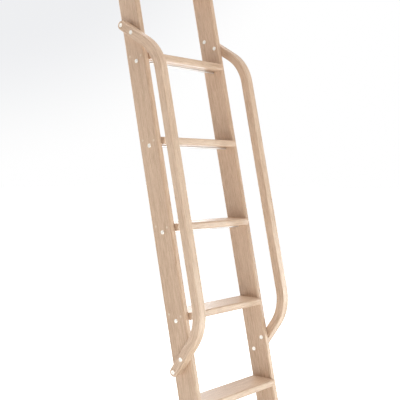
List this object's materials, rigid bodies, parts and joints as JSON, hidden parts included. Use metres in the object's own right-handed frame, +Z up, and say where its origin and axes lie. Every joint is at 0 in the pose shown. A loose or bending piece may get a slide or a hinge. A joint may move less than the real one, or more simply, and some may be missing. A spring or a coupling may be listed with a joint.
{
  "type": "library ladder",
  "caption": "Leaning oak library ladder with tie-rod treads and two bent side handrails, rolling on floor wheels and hung by roller trolleys from a round rail.",
  "frame": {"origin": "on the floor, at the middle of the leaning ladder's footprint box", "axes": "+X across the ladder, +Y from the climber towards the shelves, +Z up; the ladder is stored leaning at 78 degrees"},
  "size_m": [0.48, 0.5932, 2.6015],
  "materials": {
    "oak": "clear matt lacquer, fine straight grain",
    "dowel_oak": "end grain, clear matt lacquer",
    "polished_steel": "polished",
    "rod_steel": "drawn, satin",
    "bracket_steel": "brushed",
    "fastener_steel": "machined, satin",
    "housing_metal": "cast and bead-blasted",
    "hub_metal": "turned",
    "bush_bronze": "turned bronze",
    "tyre_rubber": "matt rubber",
    "roller_nylon": "matt nylon"
  },
  "bodies": {
    "ladder": {"bracket_bolts_left": "fastener_steel", "bracket_bolts_right": "fastener_steel", "bracket_nuts_left": "fastener_steel", "bracket_nuts_right": "fastener_steel", "foot_bracket_left": "bracket_steel", "foot_bracket_right": "bracket_steel", "handrail_bolts_left": "polished_steel", "handrail_bolts_right": "polished_steel", "handrail_left": "oak", "handrail_right": "oak", "handrail_sleeve_nuts_left": "polished_steel", "handrail_sleeve_nuts_right": "polished_steel", "stile_left": "oak", "stile_right": "oak", "tie_rod_1": "rod_steel", "tie_rod_2": "rod_steel", "tie_rod_3": "rod_steel", "tie_rod_4": "rod_steel", "tie_rod_5": "rod_steel", "tie_rod_6": "rod_steel", "tie_rod_7": "rod_steel", "tie_rod_8": "rod_steel", "tie_rod_cap_nuts_left": "polished_steel", "tie_rod_cap_nuts_right": "polished_steel", "top_bracket_left": "bracket_steel", "top_bracket_right": "bracket_steel", "tread_1": "oak", "tread_2": "oak", "tread_3": "oak", "tread_4": "oak", "tread_5": "oak", "tread_6": "oak", "tread_7": "oak", "tread_8": "oak", "tread_dowels_left": "dowel_oak", "tread_dowels_right": "dowel_oak", "trolley_pivot_bolt_left": "fastener_steel", "trolley_pivot_bolt_right": "fastener_steel", "trolley_pivot_nuts": "fastener_steel", "wheel_axle_left": "fastener_steel", "wheel_axle_nuts": "fastener_steel", "wheel_axle_right": "fastener_steel"},
    "wheel_left": {"wheel_hub_left": "hub_metal", "wheel_tyre_left": "tyre_rubber", "wheel_bush_left": "bush_bronze"},
    "wheel_right": {"wheel_hub_right": "hub_metal", "wheel_tyre_right": "tyre_rubber", "wheel_bush_right": "bush_bronze"},
    "trolley_left": {"trolley_housing_left": "housing_metal", "roller_axle_left": "fastener_steel", "roller_axle_nut_left": "fastener_steel"},
    "trolley_right": {"trolley_housing_right": "housing_metal", "roller_axle_right": "fastener_steel", "roller_axle_nut_right": "fastener_steel"},
    "roller_left": {"trolley_roller_left": "roller_nylon"},
    "roller_right": {"trolley_roller_right": "roller_nylon"}
  },
  "joints": [
    {"name": "wheel_left_spin", "type": "hinge", "parent": "ladder", "child": "wheel_left", "pos_m": [-0.196, -0.25365, 0.0375], "axis": [0, 1, 0], "continuous": true},
    {"name": "trolley_left_pivot", "type": "hinge", "parent": "ladder", "child": "trolley_left", "pos_m": [-0.196, 0.25765, 2.49348], "axis": [1, 0, 0], "range_deg": [-12, 10]},
    {"name": "roller_left_spin", "type": "hinge", "parent": "trolley_left", "child": "roller_left", "pos_m": [-0.196, 0.26565, 2.57483], "axis": [0, 1, 0], "continuous": true},
    {"name": "wheel_right_spin", "type": "hinge", "parent": "ladder", "child": "wheel_right", "pos_m": [0.196, -0.25365, 0.0375], "axis": [0, 1, 0], "continuous": true},
    {"name": "trolley_right_pivot", "type": "hinge", "parent": "ladder", "child": "trolley_right", "pos_m": [0.196, 0.25765, 2.49348], "axis": [1, 0, 0], "range_deg": [-12, 10]},
    {"name": "roller_right_spin", "type": "hinge", "parent": "trolley_right", "child": "roller_right", "pos_m": [0.196, 0.26565, 2.57483], "axis": [0, 1, 0], "continuous": true}
  ],
  "couplings": [
    {"joint": "trolley_right_pivot", "follows": "trolley_left_pivot", "ratio": 1}
  ]
}
